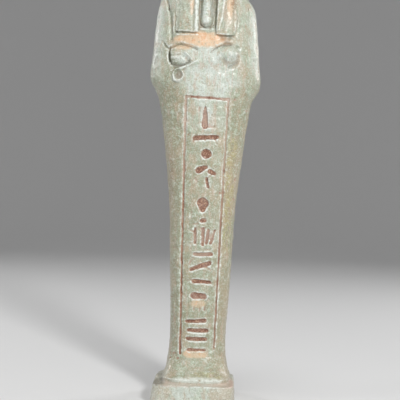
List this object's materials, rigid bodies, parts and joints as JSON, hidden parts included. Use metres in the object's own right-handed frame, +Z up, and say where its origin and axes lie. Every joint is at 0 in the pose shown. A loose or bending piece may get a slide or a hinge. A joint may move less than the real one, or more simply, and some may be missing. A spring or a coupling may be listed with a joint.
{
  "type": "ushabti figurine",
  "caption": "Mummiform funerary figurine of glazed faience with tripartite wig, false beard, crossed hands, framed column of strokes, back pillar and plinth.",
  "frame": {"origin": "centre of the flat underside of the plinth", "axes": "+Z up the figure to the crown, the figure faces -Y, +X to its own left, the viewer's right"},
  "size_m": [0.0412, 0.0329, 0.178],
  "materials": {
    "faience": "satin"
  },
  "bodies": {
    "root": {"ushabti": "faience"}
  },
  "joints": []
}
